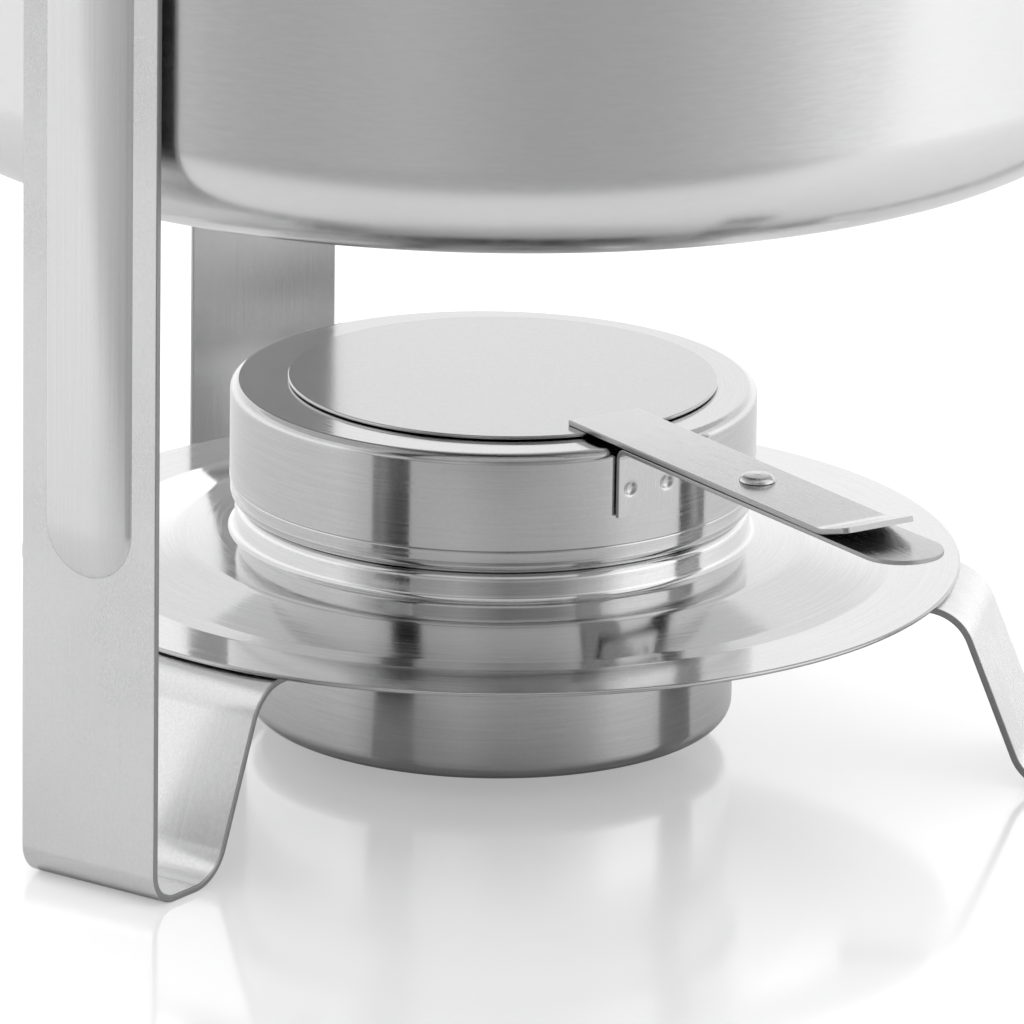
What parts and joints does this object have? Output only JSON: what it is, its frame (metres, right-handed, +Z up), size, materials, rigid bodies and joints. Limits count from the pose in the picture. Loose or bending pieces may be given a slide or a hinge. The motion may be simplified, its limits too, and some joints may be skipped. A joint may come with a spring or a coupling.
{
  "type": "roll top chafer",
  "caption": "Round roll top chafer with a steel strip-leg stand, water and food pans, a dome that rolls back, and a fuel holder with a swinging snuffer.",
  "frame": {"origin": "on the surface that the feet stand on, on the axis of the pans", "axes": "+Z up, -Y is the serving side that the dome opens on, +X is to the right of someone at the serving side who faces the dish"},
  "size_m": [0.368, 0.3658, 0.413],
  "materials": {
    "satin_steel": "fine satin stainless steel",
    "polished_steel": "polished stainless steel",
    "mirror_steel": "mirror polished stainless steel",
    "nylon": "natural nylon washer",
    "silicone": "clear grey silicone pad"
  },
  "bodies": {
    "stand": {"leg_front_left": "satin_steel", "leg_trim_front_left": "polished_steel", "leg_front_right": "satin_steel", "leg_trim_front_right": "polished_steel", "leg_rear": "satin_steel", "leg_trim_rear": "polished_steel", "leg_rivets": "polished_steel", "carrier_ring": "polished_steel", "burner_shelf": "polished_steel", "dome_rear": "mirror_steel", "pivot_plate_left": "satin_steel", "pivot_plate_rivets_left": "polished_steel", "pivot_pin_left": "polished_steel", "pivot_washer_left": "nylon", "pivot_spacer_left": "polished_steel", "pivot_knob_left": "mirror_steel", "pivot_plate_right": "satin_steel", "pivot_plate_rivets_right": "polished_steel", "pivot_pin_right": "polished_steel", "pivot_washer_right": "nylon", "pivot_spacer_right": "polished_steel", "pivot_knob_right": "mirror_steel", "dome_clip_right": "satin_steel", "dome_clip_rear": "satin_steel", "dome_clip_left": "satin_steel", "dome_clip_screws": "polished_steel", "dome_clip_nuts": "polished_steel", "dome_bumpers": "silicone"},
    "dome": {"dome_front": "mirror_steel", "handle_bar": "mirror_steel", "handle_ferrules": "mirror_steel", "handle_screws": "polished_steel"},
    "water_pan": {"water_pan": "satin_steel"},
    "food_pan": {"food_pan": "satin_steel"},
    "fuel_cup": {"fuel_cup": "polished_steel"},
    "burner_cover": {"burner_cover": "polished_steel", "cover_bracket": "satin_steel", "snuffer_rivet": "polished_steel", "snuffer_washer": "polished_steel"},
    "snuffer": {"snuffer_lever": "satin_steel", "snuffer_disc": "satin_steel"}
  },
  "joints": [
    {"name": "dome_roll", "type": "hinge", "parent": "stand", "child": "dome", "pos_m": [0, 0, 0.25], "axis": [-1, 0, 0], "range_deg": [0, 90]},
    {"name": "water_pan_lift", "type": "slide", "parent": "stand", "child": "water_pan", "axis": [0, 0, 1], "range_m": [0, 0.012]},
    {"name": "food_pan_lift", "type": "slide", "parent": "water_pan", "child": "food_pan", "axis": [0, 0, 1], "range_m": [0, 0.058]},
    {"name": "fuel_cup_lift", "type": "slide", "parent": "stand", "child": "fuel_cup", "axis": [0, 0, 1], "range_m": [0, 0.048]},
    {"name": "burner_cover_lift", "type": "slide", "parent": "fuel_cup", "child": "burner_cover", "axis": [0, 0, 1], "range_m": [0, 0.007]},
    {"name": "snuffer_swing", "type": "hinge", "parent": "burner_cover", "child": "snuffer", "pos_m": [0.02126, -0.09433, 0.0798], "axis": [0, 0, 1], "range_deg": [-55, 55]}
  ]
}
